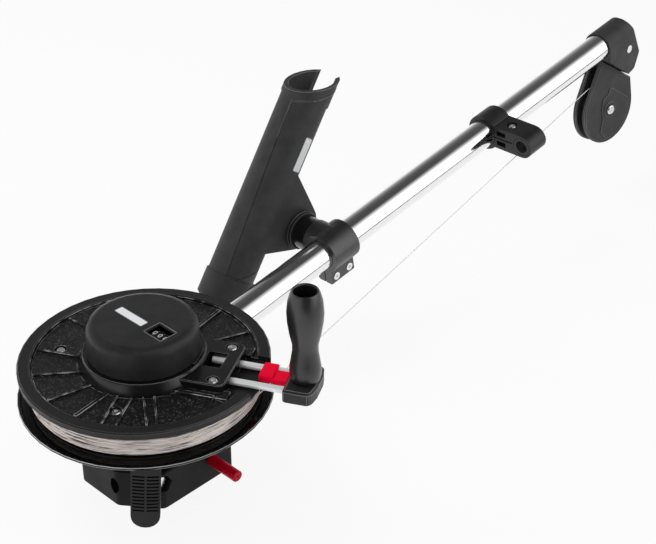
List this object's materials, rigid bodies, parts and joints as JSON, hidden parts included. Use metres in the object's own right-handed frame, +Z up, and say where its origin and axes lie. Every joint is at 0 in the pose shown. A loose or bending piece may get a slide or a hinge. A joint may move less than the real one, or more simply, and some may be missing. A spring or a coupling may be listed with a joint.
{
  "type": "downrigger",
  "caption": "Hand-cranked fishing downrigger: flat cable spool with counter and brake lever on a base, steel boom with swivel pulley, tilting rod holder and release clamp.",
  "frame": {"origin": "spool axis at the base's underside", "axes": "+X outboard along the boom, +Y to its left, +Z up along the spool's axis"},
  "size_m": [0.9232, 0.2849, 0.259],
  "materials": {
    "black_plastic": "fine pebbled black moulding",
    "grey_plastic": "matte grey-black glass-filled moulding",
    "gloss_black": "smooth gloss black",
    "red_plastic": "smooth red",
    "steel": "plain machined steel",
    "bright_steel": "polished stainless steel",
    "cable_steel": "stranded stainless steel cable",
    "bronze": "plain sintered bronze",
    "rubber": "matte black rubber",
    "white_plastic": "matte off-white"
  },
  "bodies": {
    "frame": {"base_housing": "black_plastic", "base_bolt": "bright_steel", "reel_frame": "black_plastic", "spool_axle": "steel", "thrust_washer": "steel", "axle_nut": "steel", "counter_frame": "grey_plastic", "counter_shaft": "steel", "counter_cover": "black_plastic", "boom_tube": "bright_steel", "boom_bolt": "steel", "boom_end_cap": "grey_plastic", "swivel_cross_pin": "bright_steel", "rod_clamp": "black_plastic", "rod_clamp_screw_1": "bright_steel", "rod_clamp_screw_2": "bright_steel", "rod_holder_post": "black_plastic", "holder_lock_ring": "rubber", "release_clamp": "black_plastic", "release_clamp_screw": "bright_steel", "release_socket": "grey_plastic", "lever_pin": "steel", "pin_spring": "steel", "cable_run": "cable_steel"},
    "spool": {"upper_flange": "black_plastic", "lower_flange": "gloss_black", "spool_hub": "black_plastic", "spool_drum": "black_plastic", "lower_bushing": "bronze", "upper_bushing": "bronze", "flange_screw_1": "bright_steel", "flange_screw_2": "bright_steel", "flange_screw_3": "bright_steel", "cable_core": "cable_steel", "cable_winding": "cable_steel", "crank_plate": "black_plastic", "crank_screw_1": "bright_steel", "crank_screw_2": "bright_steel", "brake_ring": "steel"},
    "crank_arm": {"crank_rod_right": "bright_steel", "crank_rod_left": "bright_steel", "handle_block": "black_plastic", "grip_spindle": "steel"},
    "lock_slider": {"crank_lock": "red_plastic"},
    "hand_grip": {"crank_grip": "black_plastic"},
    "brake_lever": {"thumb_lever": "grey_plastic", "brake_pad": "rubber"},
    "pull_pin": {"release_pin": "red_plastic"},
    "holder": {"rod_holder": "grey_plastic"},
    "pulley_head": {"pulley_front_cheek": "grey_plastic", "pulley_back_cheek": "grey_plastic", "pulley_neck": "grey_plastic", "sheave_axle": "bright_steel", "cable_wrap": "cable_steel"},
    "sheave": {"pulley_sheave": "grey_plastic"},
    "counter_hundreds": {"counter_wheel_hundreds": "white_plastic"},
    "counter_tens": {"counter_wheel_tens": "white_plastic"},
    "counter_units": {"counter_wheel_units": "white_plastic"}
  },
  "joints": [
    {"name": "spool_spin", "type": "hinge", "parent": "frame", "child": "spool", "pos_m": [0, 0, 0.138], "axis": [0, 0, 1], "continuous": true},
    {"name": "crank_telescope", "type": "slide", "parent": "spool", "child": "crank_arm", "axis": [0.4695, -0.8829, 0], "range_m": [-0.015, 0]},
    {"name": "lock_slide", "type": "slide", "parent": "crank_arm", "child": "lock_slider", "axis": [0.4695, -0.8829, 0], "range_m": [-0.005, 0]},
    {"name": "grip_spin", "type": "hinge", "parent": "crank_arm", "child": "hand_grip", "pos_m": [0.06807, -0.12803, 0.15], "axis": [0, 0, 1], "continuous": true},
    {"name": "brake_press", "type": "hinge", "parent": "frame", "child": "brake_lever", "pos_m": [-0.02891, -0.03047, 0.084], "axis": [0.7254, -0.6884, 0], "range_deg": [0, 3], "stiffness_Nm_per_rad": 0.3, "springref_deg": -6.88},
    {"name": "pin_pull", "type": "slide", "parent": "frame", "child": "pull_pin", "axis": [0, -1, 0], "range_m": [0, 0.006], "stiffness_N_per_m": 600, "springref_m": -0.004, "deforming": ["pin_spring"]},
    {"name": "holder_tilt", "type": "hinge", "parent": "frame", "child": "holder", "pos_m": [0.28, 0.095, 0.113], "axis": [0, 1, 0], "range_deg": [-33, 45]},
    {"name": "pulley_swivel", "type": "hinge", "parent": "frame", "child": "pulley_head", "pos_m": [0.7778, 0.0434, 0.1553], "axis": [0.5299, 0, 0.848], "range_deg": [-3, 9]},
    {"name": "sheave_spin", "type": "hinge", "parent": "pulley_head", "child": "sheave", "pos_m": [0.76696, 0.04104, 0.10626], "axis": [0.118, 0.9903, -0.0738], "continuous": true},
    {"name": "counter_hundreds_turn", "type": "hinge", "parent": "frame", "child": "counter_hundreds", "pos_m": [-0.0012, -0.0187, 0.1603], "axis": [0, 1, 0], "continuous": true},
    {"name": "counter_tens_turn", "type": "hinge", "parent": "frame", "child": "counter_tens", "pos_m": [-0.0012, -0.0252, 0.1603], "axis": [0, 1, 0], "continuous": true},
    {"name": "counter_units_turn", "type": "hinge", "parent": "frame", "child": "counter_units", "pos_m": [-0.0012, -0.0317, 0.1603], "axis": [0, 1, 0], "continuous": true}
  ],
  "couplings": [
    {"joint": "counter_units_turn", "follows": "spool_spin", "ratio": 0.2},
    {"joint": "counter_tens_turn", "follows": "spool_spin", "ratio": 0.02},
    {"joint": "counter_hundreds_turn", "follows": "spool_spin", "ratio": 0.002}
  ]
}
